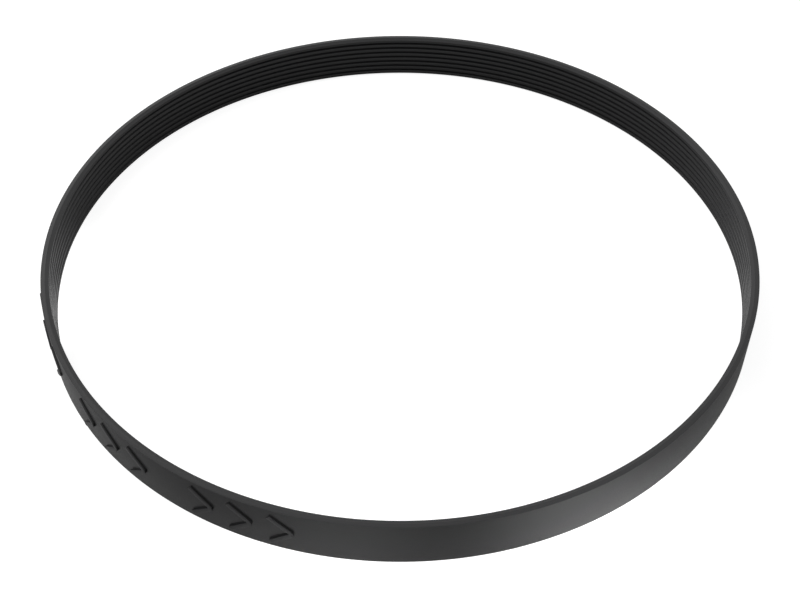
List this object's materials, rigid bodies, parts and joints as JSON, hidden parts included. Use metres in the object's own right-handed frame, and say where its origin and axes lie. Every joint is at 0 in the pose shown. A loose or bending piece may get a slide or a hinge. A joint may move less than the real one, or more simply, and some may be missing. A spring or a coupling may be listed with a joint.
{
  "type": "serpentine belt",
  "caption": "Endless multi-rib drive belt in black rubber, smooth on its outer back and V-ribbed along the inside, lying on its side edge as an open round loop.",
  "frame": {"origin": "centre of the loop, on the plane that the belt's lower side edge lies on", "axes": "+Z along the loop's axis, upwards from the surface that the belt lies on; +Y away from the picture's camera; +X to its right"},
  "size_m": [0.4074, 0.4074, 0.0285],
  "materials": {
    "belt_rubber": "satin"
  },
  "bodies": {
    "root": {"ribbed_belt": "belt_rubber"}
  },
  "joints": []
}
